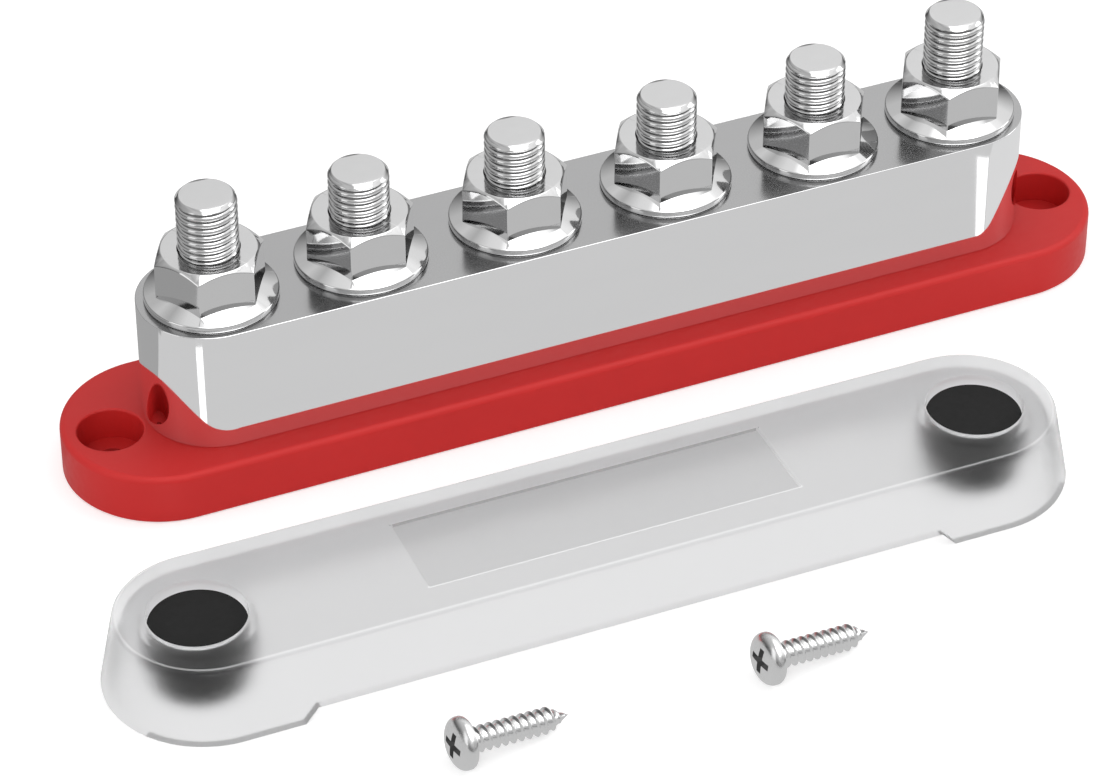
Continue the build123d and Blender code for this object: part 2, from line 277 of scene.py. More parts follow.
class Nodes:
    """A small wrapper that makes node materials short to write."""

    def __init__(self, name):
        self.material = bpy.data.materials.new(name)
        self.material.use_nodes = True
        self.tree = self.material.node_tree
        self.shader = self.tree.nodes["Principled BSDF"]
        self.surface = self.tree.nodes["Material Output"].inputs["Surface"]
        self.coord = self.tree.nodes.new("ShaderNodeTexCoord").outputs["Object"]

    def new(self, kind, values=(), **settings):
        """A node with some of its inputs and settings given."""
        node = self.tree.nodes.new(kind)
        for key, value in settings.items():
            setattr(node, key, value)
        for key, value in dict(values).items():
            node.inputs[key].default_value = value
        return node

    def link(self, a, b):
        self.tree.links.new(a, b)

    def set(self, **values):
        """Gives the shader's inputs plain values."""
        for key, value in values.items():
            self.shader.inputs[key.replace("_", " ")].default_value = value

    def math(self, operation, *values):
        return calculated(self.tree, operation, *values)

    def upward(self):
        """How far the surface faces up: 0 for a wall, 1 for a level top."""
        axes = self.new("ShaderNodeSeparateXYZ")
        self.link(self.new("ShaderNodeNewGeometry").outputs["Normal"], axes.inputs["Vector"])
        return axes.outputs["Z"]

    def scaled(self, x, y, z):
        node = self.new("ShaderNodeMapping", {"Scale": (x, y, z)})
        self.link(self.coord, node.inputs["Vector"])
        return node.outputs["Vector"]

    def noise(self, scale, detail=3.0, rough=0.55, vector=None):
        node = self.new("ShaderNodeTexNoise", {"Scale": scale, "Detail": detail, "Roughness": rough})
        self.link(vector or self.coord, node.inputs["Vector"])
        return node.outputs["Fac"]

    def span(self, value, low, high, start=0.3, stop=0.7):
        """The value brought from the range start to stop into the range low to high."""
        node = self.new("ShaderNodeMapRange", {"From Min": start, "From Max": stop, "To Min": low, "To Max": high})
        self.link(value, node.inputs["Value"])
        return node.outputs["Result"]

    def mix(self, factor, a, b):
        """Colour from a, which may be a socket, to b."""
        node = self.new("ShaderNodeMix", data_type="RGBA")
        self.link(factor, node.inputs[FACTOR])
        if isinstance(a, tuple):
            node.inputs[COLOUR_A].default_value = (*a, 1)
        else:
            self.link(a, node.inputs[COLOUR_A])
        node.inputs[COLOUR_B].default_value = (*b, 1)
        return node.outputs[MIXED]

    def clouded(self, colour, noise, low=0.97):
        """The colour with faint lighter and darker patches."""
        node = self.new("ShaderNodeMix", data_type="RGBA", blend_type="MULTIPLY")
        node.inputs[FACTOR].default_value = 1.0
        self.link(colour, node.inputs[COLOUR_A])
        self.link(self.mix(noise, grey(low), grey(1.0)), node.inputs[COLOUR_B])
        return node.outputs[MIXED]

    def colour(self, socket):
        self.link(socket, self.shader.inputs["Base Color"])

    def rough(self, socket):
        self.link(socket, self.shader.inputs["Roughness"])

    def bump(self, height, strength, distance):
        node = self.new("ShaderNodeBump", {"Strength": strength, "Distance": distance})
        self.link(height, node.inputs["Height"])
        self.link(node.outputs["Normal"], self.shader.inputs["Normal"])

    def glowing(self, strength):
        """The material as a light whose strength is a socket."""
        self.tree.nodes.remove(self.shader)
        light = self.new("ShaderNodeEmission")
        self.link(strength, light.inputs["Strength"])
        self.link(light.outputs[0], self.surface)
        return self.material


def calculated(tree, operation, *values):
    """Result of a Math node whose inputs are sockets or numbers."""
    node = tree.nodes.new("ShaderNodeMath")
    node.operation = operation
    for i, value in enumerate(values):
        if isinstance(value, (int, float)):
            node.inputs[i].default_value = value
        else:
            tree.links.new(value, node.inputs[i])
    return node.outputs[0]


def grey(v):
    return (v, v, v * 1.003)


def red_plastic():
    m = Nodes("red_plastic")
    m.colour(m.mix(m.noise(90, 4), (0.54, 0.017, 0.016), (0.59, 0.02, 0.019)))
    m.rough(m.span(m.noise(700, 3), 0.4, 0.5))
    m.bump(m.noise(3200, 3), 0.12, 0.00002)
    m.set(Specular_IOR_Level=0.25)
    return m.material


def plated_bar():
    """Polished plating: the sides are mirrors; the top is rougher, and its colour is painted darker as shade. Faint
    lines run along the bar.
    """
    m = Nodes("plated_bar")
    up = m.upward()
    # Painted shade: the colour is darker on faces that look up.
    bar_top_painted_shade = m.mix(m.span(up, 0, 1, 0.6, 0.95), grey(0.975), grey(0.59))
    m.colour(m.clouded(bar_top_painted_shade, m.noise(1.0, 4, vector=m.scaled(35, 160, 160))))
    polish = m.span(up, 0.045, 0.18, 0.6, 0.95)
    streak = m.span(m.noise(1.0, 3, vector=m.scaled(60, 2600, 2600)), -0.01, 0.02)
    m.rough(m.math("ADD", polish, streak))
    m.bump(m.noise(1.0, 3, vector=m.scaled(90, 3000, 3000)), 0.02, 0.000012)
    m.set(Metallic=1.0)
    return m.material


def polished_steel(name, low, high, rough_low, rough_high, mirror_painted_shade=None):
    """Polished steel. The last argument is a painted shade: the darker grey that the steel shows in the mirrors
    around it, in place of its shade there.
    """
    m = Nodes(name)
    colour = m.mix(m.noise(260, 4), grey(low), grey(high))
    if mirror_painted_shade:
        # Painted shade: a darker grey wherever the steel is seen in a mirror.
        colour = m.mix(m.new("ShaderNodeLightPath").outputs["Is Glossy Ray"], colour, grey(mirror_painted_shade))
    m.colour(colour)
    m.rough(m.span(m.noise(900, 3), rough_low, rough_high))
    m.bump(m.noise(2600, 3), 0.05, 0.00001)
    m.set(Metallic=1.0)
    return m.material


def turned_steel(name, low, high, rough_low, rough_high):
    """Faced on a lathe: fine rings around the piece's own axis."""
    m = Nodes(name)
    wave = m.new("ShaderNodeTexWave", {"Scale": 900.0, "Distortion": 1.5, "Detail": 2.0, "Detail Scale": 1.0},
                 wave_type="RINGS", rings_direction="Z")
    m.link(m.coord, wave.inputs["Vector"])
    m.colour(m.mix(m.noise(500, 4), grey(low), grey(high)))
    m.rough(m.span(wave.outputs["Fac"], rough_low, rough_high, 0.0, 1.0))
    m.bump(wave.outputs["Fac"], 0.05, 0.00001)
    m.set(Metallic=1.0)
    return m.material


def clear_plastic(name, shade, rough, clarity):
    """Clear but slightly milky; the clarity is the part of the light that goes through."""
    m = Nodes(name)
    edge = m.new("ShaderNodeLayerWeight", {"Blend": 0.35}).outputs["Facing"]
    # Painted shade: faces that look up are coloured darker.
    cover_top_painted_shade = m.mix(m.span(m.upward(), 0, 1, 0.3, 0.9), grey(shade), grey(shade * 0.9))
    # Painted shade: the colour darkens where the surface is seen edge-on.
    dark = m.mix(m.span(edge, 0, 1, 0.72, 0.98), cover_top_painted_shade, grey(shade * 0.72))
    m.colour(m.clouded(dark, m.noise(120, 4), 0.985))
    m.rough(m.span(m.noise(500, 4), rough - 0.03, rough + 0.03))
    m.bump(m.noise(1500, 3), 0.06, 0.00002)
    m.set(Transmission_Weight=clarity, IOR=1.12, Coat_Weight=0.5, Coat_Roughness=0.08, Coat_IOR=1.45)
    return m.material


def black_rubber():
    m = Nodes("black_rubber")
    m.colour(m.mix(m.noise(400, 4), (0.013, 0.013, 0.013), (0.019, 0.019, 0.019)))
    m.rough(m.span(m.noise(1200, 3), 0.42, 0.56))
    m.bump(m.noise(4200, 3), 0.2, 0.00003)
    m.set(Specular_IOR_Level=0.1)
    return m.material


RED = red_plastic()
BAR = plated_bar()
# The last number of the nut and thread steels is their painted shade in the mirrors around them.
NUT = polished_steel("nut_polished", 0.77, 0.80, 0.04, 0.08, 0.4)
NUT_TOP = turned_steel("nut_faced", 0.86, 0.9, 0.08, 0.14)
THREAD = polished_steel("thread_rolled", 0.70, 0.76, 0.05, 0.1, 0.3)
STUD_TOP = turned_steel("stud_faced", 0.86, 0.9, 0.1, 0.16)
SCREW = polished_steel("screw_plated", 0.82, 0.9, 0.18, 0.28)
# Painted shade: the inside of the cross recess is nearly black steel.
RECESS_PAINTED_SHADE = polished_steel("screw_recess_painted_shade", 0.05, 0.09, 0.4, 0.5)
# Besides the plain plastic and the darker panel: a nearly white painted highlight, a grey painted shade and a lighter
# painted highlight line.
CLEARS = [clear_plastic("clear_plastic", 0.81, 0.7, 1.0),
          clear_plastic("clear_panel", 0.66, 0.75, 1.0),
          clear_plastic("clear_painted_highlight", 0.98, 0.5, 0.05),
          clear_plastic("clear_painted_shade", 0.4, 0.5, 0.5),
          clear_plastic("clear_highlight_line", 0.95, 0.5, 0.7)]
CLEAR, CLEAR_PANEL, CLEAR_PAINTED_HIGHLIGHT, CLEAR_PAINTED_SHADE, CLEAR_HIGHLIGHT_LINE = range(len(CLEARS))
BLACK = black_rubber()


# ---------------------------------------------------------------- base and bar

def make_base():
    b = Builder()
    wall = [(BASE_FOOT, 0.0), (0.0, BASE_FOOT)]
    wall += [(i, BAR_FOOT - BASE_TOP_ROUND + z) for i, z in quarter(BASE_TOP_ROUND, 8)]
    rings = b.skin(*[slot_ring(BASE_LENGTH - 2 * i, BASE_WIDTH - 2 * i, z) for i, z in wall])
    ear_wall = [(EAR_BORE + EAR_MOUTH - z, BAR_FOOT - i) for i, z in quarter(EAR_MOUTH, 6)]
    ear_wall += [(EAR_BORE, EAR_SEAT_Z), (EAR_HOLE, EAR_SEAT_Z), (EAR_HOLE, 0)]
    pocket_wall = [(POCKET_HOLE, BAR_FOOT), (POCKET_HOLE, POCKET_TOP), (POCKET_R, POCKET_TOP), (POCKET_R, 0)]
    top_holes, foot_holes = [], []
    for side in SIDES.values():
        ear = b.lathe(ear_wall, LARGE, (side * EAR_X, 0))
        pocket = b.lathe(pocket_wall, POCKET, (side * FIXING_X, 0))
        top_holes += [ear[0], pocket[0]]
        foot_holes += [ear[-1], pocket[-1]]
    b.cap(rings[-1], *top_holes)
    b.cap(rings[0], *foot_holes)
    settle(b.done("base_moulding", [RED]), ROOT, "red_plastic", "base")


def make_bar():
    b = Builder()
    foot = [(BAR_ROUND - z, BAR_FOOT + i) for i, z in quarter(BAR_ROUND)]
    head = [(i, BAR_TOP - BAR_ROUND + z) for i, z in quarter(BAR_ROUND)]
    rings = b.skin(*[slot_ring(BAR_LENGTH - 2 * i, BAR_WIDTH - 2 * i, z, LARGE) for i, z in foot + head])
    floor = BAR_TOP - STUD_SEAT_DEPTH
    tapped = [(TAPPED_MOUTH, BAR_TOP), (TAPPED_R, BAR_TOP - TAPPED_MOUTH_DEPTH), (TAPPED_R, floor), (0, floor)]
    b.cap(rings[-1], *[b.lathe(tapped, SMALL, (x, 0))[0] for x in STUD_XS])
    roof = BAR_FOOT + FIXING_DEPTH
    fixing = [(FIXING_R, BAR_FOOT), (FIXING_R, roof), (0, roof)]
    b.cap(rings[0], *[b.lathe(fixing, HIDDEN, (side * FIXING_X, 0))[0] for side in SIDES.values()])
    settle(b.done("bar_plated", [BAR]), ROOT, "plated_bar", "bus_bar")


# ---------------------------------------------------------------- threads

def helix(b, profile, pitch, low, high, limit, steps):
    """Threaded surface about Z. profile: (part of a pitch, radius); limit(z, r) bounds the radius at a height."""
    rows = int(ceil((high - low) / pitch * steps)) + 2 * steps
    grid = []
    for i in range(rows + 1):
        turn = 2 * pi * i / steps
        start = low - pitch + pitch * i / steps
        row = []
        for part, r in profile:
            z = start + part * pitch
            r = limit(z, r)
            row.append(b.bm.verts.new((r * cos(turn), r * sin(turn), z)))
        grid.append(row)
    for i in range(rows):
        for j in range(len(profile) - 1):
            b.face((grid[i][j], grid[i + 1][j], grid[i + 1][j + 1], grid[i][j + 1]))
        if i + 1 + steps <= rows:
            b.face((grid[i][-1], grid[i + 1][-1], grid[i + 1 + steps][0], grid[i + steps][0]))


def trim(b, z, up):
    """Cuts off what is above the height, or below it where up is false, and closes the cut."""
    geometry = b.bm.verts[:] + b.bm.edges[:] + b.bm.faces[:]
    cut = bmesh.ops.bisect_plane(b.bm, geom=geometry, plane_co=(0, 0, z), plane_no=(0, 0, 1),
                                 clear_outer=up, clear_inner=not up, dist=1e-5)
    edges = [e for e in cut["geom_cut"] if isinstance(e, bmesh.types.BMEdge)]
    bmesh.ops.edgeloop_fill(b.bm, edges=edges)


def metric_profile():
    """Rolled thread over one pitch: full rounded crest and narrow root."""
    parts = [i / THREAD_POINTS for i in range(THREAD_POINTS)]
    return [(t, STUD_R - THREAD_DEPTH * abs(2 * t - 1) ** THREAD_FULLNESS) for t in parts]


def make_studs():
    land = STUD_R - STUD_CHAMFER
    for number, (x, top) in enumerate(zip(STUD_XS, STUD_TOPS), 1):
        height = top - BAR_TOP
        end = height - STUD_END
        b = Builder()

        def limit(z, r):
            return min(r, land + max(height - z, 0.0))
        helix(b, metric_profile(), THREAD_PITCH, THREAD_START, height, limit, THREAD_TURN_STEPS)
        trim(b, end, True)
        trim(b, THREAD_FOOT, False)
        b.lathe([(0, end), (land + STUD_END, end), (land + STUD_EDGE, height - STUD_EDGE),
                 (land - STUD_EDGE, height)], SMALL)
        b.tag = 1
        b.cap(b.ring(ring(land - STUD_EDGE, height, SMALL)))
        b.tag = 0
        b.lathe([(0, -STUD_SEAT_DEPTH), (land, -STUD_SEAT_DEPTH), (STUD_R, STUD_CHAMFER - STUD_SEAT_DEPTH),
                 (STUD_R, ROD_TOP - ROD_BEVEL[1]), (STUD_R - ROD_BEVEL[0], ROD_TOP), (0, ROD_TOP)], HIDDEN)
        piece = b.done(f"stud_thread_{number}", [THREAD, STUD_TOP], at=(x, 0, BAR_TOP), smooth=28)
        settle(piece, ROOT, "stainless", f"stud_{number}")


# ---------------------------------------------------------------- nuts

def hexagon(flat, corner, steps=4, along=14):
    """Hexagon outline with a corner on +X and slightly rounded corners: (x, y) points."""
    points = []
    reach = (flat - corner) / cos(radians(30))
    for k in range(6):
        mid = 60 * k
        cx, cy = reach * cos(radians(mid)), reach * sin(radians(mid))
        points += arc(cx, cy, corner, mid - 30, mid + 30, steps)
        nx, ny = reach * cos(radians(mid + 60)), reach * sin(radians(mid + 60))
        a = points[-1]
        c = (nx + corner * cos(radians(mid + 30)), ny + corner * sin(radians(mid + 30)))
        points += [(a[0] + (c[0] - a[0]) * i / along, a[1] + (c[1] - a[1]) * i / along) for i in range(1, along)]
    return points


def on_cone(x, y, inset=0.0):
    """Point of the nut's top cone above an outline point, drawn in by the inset."""
    r = sqrt(x * x + y * y)
    k = (r - inset) / r
    return x * k, y * k, NUT_HEIGHT - (r - inset - NUT_LAND) * tan(NUT_SLOPE)


def softened(outline):
    """Rings from the top of the hexagon's faces to just inside the cone."""
    walls = [Vector((x, y, on_cone(x, y)[2] - NUT_SOFT_DROP)) for x, y in outline]
    rings = [[tuple(wall) for wall in walls]]
    for t in NUT_SOFT_STEPS:
        cones = [Vector(on_cone(x, y, NUT_SOFT * t)) for x, y in outline]
        rings.append([tuple(wall.lerp(cone, t ** NUT_SOFT_POWER)) for wall, cone in zip(walls, cones)])
    return rings


def make_nuts():
    outline = hexagon(NUT_FLAT, NUT_CORNER)
    angles = [atan2(y, x) for x, y in outline]
    flange_land = FLANGE_R - FLANGE_ROUND

    def circle(r, z):
        return [(r * cos(a), r * sin(a), z) for a in angles]
    foot = [(x, y, FLANGE_RIM + (flange_land - sqrt(x * x + y * y)) * tan(FLANGE_SLOPE)) for x, y in outline]
    edge = quarter(FLANGE_ROUND, 4)
    under = [circle(FLANGE_R - i, FLANGE_ROUND - z) for i, z in reversed(edge[:-1])]
    over = [circle(FLANGE_R - i, FLANGE_RIM - FLANGE_ROUND + z) for i, z in edge]
    for number, x in enumerate(STUD_XS, 1):
        b = Builder()
        rings = b.skin(foot, *softened(outline), circle(NUT_LAND + LAND_OUT, NUT_HEIGHT - LAND_DROP),
                       circle(NUT_LAND - LAND_IN, NUT_HEIGHT))
        b.tag = 1
        inner = b.ring(circle(NUT_MOUTH, NUT_HEIGHT))
        b.skin(rings[-1], inner)
        b.tag = 0
        b.skin(inner, circle(NUT_BORE, NUT_HEIGHT - NUT_MOUTH_DEPTH), circle(NUT_BORE, NUT_MOUTH_DEPTH),
               circle(NUT_MOUTH, 0.0), circle(flange_land, 0.0), *under, *over, rings[0])
        piece = b.done(f"flange_nut_{number}", [NUT, NUT_TOP], at=(x, 0, BAR_TOP), smooth=26)
        settle(piece, f"clamp_nut_{number}", "stainless", f"clamp_nut_{number}")


# ---------------------------------------------------------------- cover and sockets

def cover_matrix():
    return Matrix.Translation((*COVER_AT, 0)) @ Matrix.Rotation(COVER_TURN, 4, "Z")


def leaning(start, top, round_r, steps):
    """(inset, height) points up a drafted wall and round into a flat top."""
    uc = (start + round_r + (top - round_r) * sin(COVER_DRAFT)) / cos(COVER_DRAFT)
    turn = [COVER_DRAFT + (pi / 2 - COVER_DRAFT) * i / steps for i in range(steps + 1)]
    return [(uc - round_r * cos(t), top - round_r + round_r * sin(t)) for t in turn]


def cover_ring(inset, z):
    """Level outline of the cover, with extra points along its sides and where the notches start and end."""
    marks = [at + step for at in (NOTCH_HALF, NOTCH_HALF - NOTCH_DEPTH) for step in (NOTCH_SOFT, 0.0, -NOTCH_SOFT)]
    stations = [side * mark for mark in marks for side in SIDES.values()]
    stations += [(i - STATION_COUNT // 2) * STATION_STEP for i in range(STATION_COUNT)]
    return slot_ring(COVER_LENGTH - 2 * inset, COVER_WIDTH - 2 * inset, z, SMALL, stations)


def rim_ring(offset, drop):
    """Ring near the lower edge: offset is the distance in from the outside, drop the height above the rim."""
    core = COVER_LENGTH / 2 - COVER_WIDTH / 2
    points = []
    for x, y, _ in cover_ring(0, 0):
        notch = min(max(NOTCH_HALF - abs(x), 0.0), NOTCH_DEPTH) if abs(y) > COVER_WIDTH / 2 - NOTCH_REACH else 0.0
        z = notch + drop
        inset = offset / cos(COVER_DRAFT) + z * tan(COVER_DRAFT)
        mid = max(-core, min(core, x))
        dx = x - mid
        r = sqrt(dx * dx + y * y)
        k = (r - inset) / r
        points.append((mid + dx * k, y * k, z))
    return points


def rim_painted_light(centre):
    """Material of the skirt's underside: a painted highlight line where it is notched, and painted shade at the front
    of both ends.
    """
    if abs(centre.x) <= NOTCH_HALF - NOTCH_DEPTH - RIM_MARGIN:
        return CLEAR_HIGHLIGHT_LINE
    return CLEAR if centre.y > RIM_FRONT else CLEAR_PAINTED_SHADE


def make_cover():
    b = Builder()
    w, e, m = COVER_WALL, RIM_ROUND, RIM_ROUND_MIDDLE
    outside = [cover_ring(i, z) for i, z in leaning(0.0, COVER_HEIGHT, COVER_ROUND, 8)]
    inside = [cover_ring(i, z) for i, z in leaning(COVER_WALL, COVER_CEILING, COVER_INNER_ROUND, 5)]
    rings = b.skin(rim_ring(w, e), rim_ring(w - m, m), rim_ring(w - e, 0), rim_ring(e, 0), rim_ring(m, m),
                   rim_ring(0, e), *outside)
    roof = b.skin(rings[0], *inside)
    seat_wall = [(SEAT_R + SEAT_MOUTH - z, COVER_HEIGHT - i) for i, z in quarter(SEAT_MOUTH, 3)]
    seat_wall += [(SEAT_R, COVER_HEIGHT - SEAT_LIT), (SEAT_R, LIP_Z), (LIP_R, LIP_Z),
                  (LIP_R, COLLAR_FOOT + COLLAR_BEVEL_IN), (LIP_R + COLLAR_BEVEL_IN, COLLAR_FOOT),
                  (COLLAR_R - COLLAR_BEVEL_OUT, COLLAR_FOOT), (COLLAR_R, COLLAR_FOOT + COLLAR_BEVEL_OUT),
                  (COLLAR_R, COVER_CEILING)]
    seats = [b.lathe(seat_wall, LARGE, (side * STUD_XS[-1], 0)) for side in SIDES.values()]
    b.bm.faces.ensure_lookup_table()
    for i, f in enumerate(b.bm.faces):
        band = i // len(rings[0])
        centre = f.calc_center_median()
        if band == RIM_BAND:
            f.material_index = rim_painted_light(centre)
        # Painted highlight line along the top's rounded edge.
        elif band in HIGHLIGHT_BANDS:
            f.material_index = CLEAR_HIGHLIGHT_LINE
        # Painted highlight: a band at the front of each seat's wall, just under its rounded mouth.
        elif (band >= len(rings) - 1 and centre.y < 0
              and COVER_HEIGHT - SEAT_LIT < centre.z < COVER_HEIGHT - SEAT_MOUTH):
            f.material_index = CLEAR_PAINTED_HIGHLIGHT
    panel_rim = make_panel(b)
    b.cap(rings[-1], *[seat[0] for seat in seats], panel_rim)
    b.cap(roof[-1], *[seat[-1] for seat in seats])
    cover = settle(b.done("cover_shell", CLEARS, cover_matrix(), smooth=30), ROOT, "clear_plastic", "cover")
    cover.visible_glossy = False


def make_panel(b):
    """The recess in the cover's top; returns its upper edge."""
    px, py = PANEL_HALF
    c = PANEL_CORNER
    panel = []
    for sx, sy, a in ((1, 1, 0), (-1, 1, 90), (-1, -1, 180), (1, -1, 270)):
        panel += arc(sx * (px - c), sy * (py - c), c, a, a + 90, 4)

    def grown(by, drop):
        return b.ring([(x * (px + by) / px, y * (py + by) / py, COVER_HEIGHT - drop) for x, y in panel])
    rim, top, floor = b.skin(grown(PANEL_LIP, 0.0), grown(0.0, PANEL_LIP_DEPTH), grown(-PANEL_DRAFT, PANEL_DEPTH))
    b.bm.faces.ensure_lookup_table()
    # The recess's wall is painted as a highlight along the front and as shade along the back, each within PANEL_SIDE
    # of that edge.
    for f in b.bm.faces[-2 * len(top):]:
        y = f.calc_center_median().y
        f.material_index = CLEAR_PAINTED_HIGHLIGHT if y < PANEL_SIDE - py else CLEAR_PAINTED_SHADE if py - PANEL_SIDE < y < py else CLEAR
    b.tag = CLEAR_PANEL
    b.cap(floor)
    b.tag = CLEAR
    return rim


def make_sockets():
    bore = [(0, SOCKET_ROOF), (SOCKET_BORE, SOCKET_ROOF), (SOCKET_BORE, SOCKET_FOOT + SOCKET_MOUTH),
            (SOCKET_BORE + SOCKET_MOUTH, SOCKET_FOOT)]
    foot = [(SOCKET_BODY - SOCKET_FOOT_ROUND + z, SOCKET_FOOT + i) for i, z in quarter(SOCKET_FOOT_ROUND, 4)]
    head = [(SOCKET_HEAD - i, SOCKET_TOP - SOCKET_TOP_ROUND + z) for i, z in quarter(SOCKET_TOP_ROUND, 4)]
    for name, side in SIDES.items():
        b = Builder()
        b.lathe(bore + foot + [(SOCKET_BODY, LIP_Z), (SOCKET_HEAD, LIP_Z)] + head + [(0, SOCKET_TOP)])
        place = cover_matrix() @ Matrix.Translation((side * STUD_XS[-1], 0, 0))
        plug = settle(b.done(f"socket_plug_{name}", [BLACK], place), ROOT, "black_rubber", f"stud_socket_{name}")
        plug.visible_glossy = False


# ---------------------------------------------------------------- mounting screws

def pan_head():
    """(radius, height) points of a pan head: flat underside, rounded rim, low crown."""
    points = [(0, 0), (HEAD_R - HEAD_EDGE, 0), (HEAD_R - HEAD_EDGE_MIDDLE, -HEAD_EDGE_MIDDLE), (HEAD_R, -HEAD_EDGE),
              (HEAD_R, -HEAD_RIM)]
    for i in range(1, CROWN_STEPS + 1):
        t = pi / 2 * i / CROWN_STEPS
        r, rise = HEAD_R * cos(t) ** CROWN_POWERS[0], (HEAD_HEIGHT - HEAD_RIM) * sin(t) ** CROWN_POWERS[1]
        points.append((r if i < CROWN_STEPS else 0, -(HEAD_RIM + rise)))
    return points


def make_screws():
    """Screws that lie on the rim of the head and on the last full thread, so that they droop a little."""
    droop = atan2(HEAD_R - SCREW_R, SCREW_LENGTH - SCREW_POINT)
    profile = [(t, SCREW_CORE + (SCREW_R - SCREW_CORE) * k) for t, k in SCREW_THREAD]

    def limit(z, r):
        k = min(1.0, max(SCREW_TIP, (SCREW_LENGTH - z) / SCREW_POINT))
        return SCREW_R * k - (SCREW_R - r) * k ** SCREW_FADE
    for name, (x, y) in SCREW_AT.items():
        b = Builder()
        b.lathe(pan_head(), SMALL)
        for turn in (0, 90):
            cross_blade(b, turn)
        head = cut_cross(b)
        shank = Builder()
        helix(shank, profile, SCREW_PITCH, 0.0, SCREW_LENGTH, limit, SCREW_TURN_STEPS)
        trim(shank, SCREW_LENGTH, True)
        trim(shank, SHANK_START, False)
        shank.bm.from_mesh(head)
        place = (Matrix.Translation((x, y, HEAD_R * cos(droop))) @ Matrix.Rotation(SCREW_TURN, 4, "Z")
                 @ Matrix.Rotation(droop, 4, "Y") @ Matrix.Rotation(pi / 2, 4, "Y"))
        # The second material is the painted shade of the cross recess.
        piece = shank.done(f"tapping_screw_{name}", [SCREW, RECESS_PAINTED_SHADE], place)
        settle(piece, ROOT, "stainless", f"mounting_screw_{name}")
        piece.visible_glossy = False


def cross_blade(b, turn):
    """One blade of the cross-shaped cutter, kept apart from the head by its material index."""
    b.tag = 1
    spin = Matrix.Rotation(radians(turn), 4, "Z")
    reaches = (CROSS_SPAN / 2 * CROSS_FLARE, CROSS_FLOOR / 2)
    levels = (-HEAD_HEIGHT - CROSS_RAISED, CROSS_DEPTH - HEAD_HEIGHT)
    rows = []
    for reach, z, widened in zip(reaches, levels, CROSS_WIDTHS):
        width = CROSS_SLOT / 2 * widened
        corners = [(reach, width), (-reach, width), (-reach, -width), (reach, -width)]
        rows.append(b.ring([tuple(spin @ Vector((x, y, z))) for x, y in corners]))
    b.skin(*rows)
    b.cap(rows[0])
    b.cap(rows[1])
    b.tag = 0


def cut_cross(b):
    """Cuts the two blades out of the head and returns the mesh that is left."""
    bmesh.ops.recalc_face_normals(b.bm, faces=b.bm.faces)
    parts = []
    for wanted in (0, 1):
        part = b.bm.copy()
        bmesh.ops.delete(part, geom=[f for f in part.faces if f.material_index != wanted], context="FACES")
        data = bpy.data.meshes.new("part")
        part.to_mesh(data)
        part.free()
        parts.append(in_scene("part", data))
    b.bm.free()
    head, blades = parts
    cut = head.modifiers.new("cut", "BOOLEAN")
    cut.operation = "DIFFERENCE"
    cut.solver = "EXACT"
    cut.use_self = True
    cut.object = blades
    left = evaluated(head)
    for part in parts:
        bpy.data.objects.remove(part)
    return left


# ---------------------------------------------------------------- stage, light and camera

def seen_by_eye(tree):
    """1 for camera, glossy and transmission rays."""
    path = tree.nodes.new("ShaderNodeLightPath").outputs
    seen = calculated(tree, "MAXIMUM", path["Is Camera Ray"], path["Is Glossy Ray"])
    return calculated(tree, "MAXIMUM", seen, path["Is Transmission Ray"])


def make_floor():
    """White to the camera, with the object's shadow; plain grey in mirrors and plain white through clear plastic."""
    mesh = bpy.data.meshes.new("floor")
    s = FLOOR_HALF
    mesh.from_pydata([(-s, -s, 0), (s, -s, 0), (s, s, 0), (-s, s, 0)], [], [(0, 1, 2, 3)])
    floor = in_scene("floor", mesh)
    m = Nodes("floor")
    m.set(Base_Color=(0.8, 0.8, 0.8, 1), Roughness=0.9, Specular_IOR_Level=0.0, Emission_Color=(1, 1, 1, 1))
    m.link(m.math("MULTIPLY", seen_by_eye(m.tree), FLOOR_GLOW), m.shader.inputs["Emission Strength"])
    path = m.new("ShaderNodeLightPath").outputs
    plain = m.new("ShaderNodeEmission")
    level = m.math("MULTIPLY_ADD", path["Is Transmission Ray"], 1 - FLOOR_MIRRORED, FLOOR_MIRRORED)
    m.link(level, plain.inputs["Strength"])
    pick = m.new("ShaderNodeMixShader")
    m.link(m.math("MAXIMUM", path["Is Glossy Ray"], path["Is Transmission Ray"]), pick.inputs[0])
    m.link(m.shader.outputs[0], pick.inputs[1])
    m.link(plain.outputs[0], pick.inputs[2])
    m.link(pick.outputs[0], m.surface)
    mesh.materials.append(m.material)


def direct_only(m, level):
    """The level for rays that haven't met a matt surface, so that mirrors don't throw light on the plastic."""
    depth = m.new("ShaderNodeLightPath").outputs["Diffuse Depth"]
    return m.math("MULTIPLY", m.math("LESS_THAN", depth, 0.5), level)


def glow(name, level):
    m = Nodes(name)
    return m.glowing(direct_only(m, level))


def card_object(name, verts, faces, material):
    """A surface that only reflections see."""
    mesh = bpy.data.meshes.new(name)
    mesh.from_pydata(verts, [], faces)
    mesh.materials.append(material)
    thing = in_scene(name, mesh)
    thing.visible_camera = False
    thing.visible_diffuse = False
    thing.visible_transmission = False
    thing.visible_shadow = False


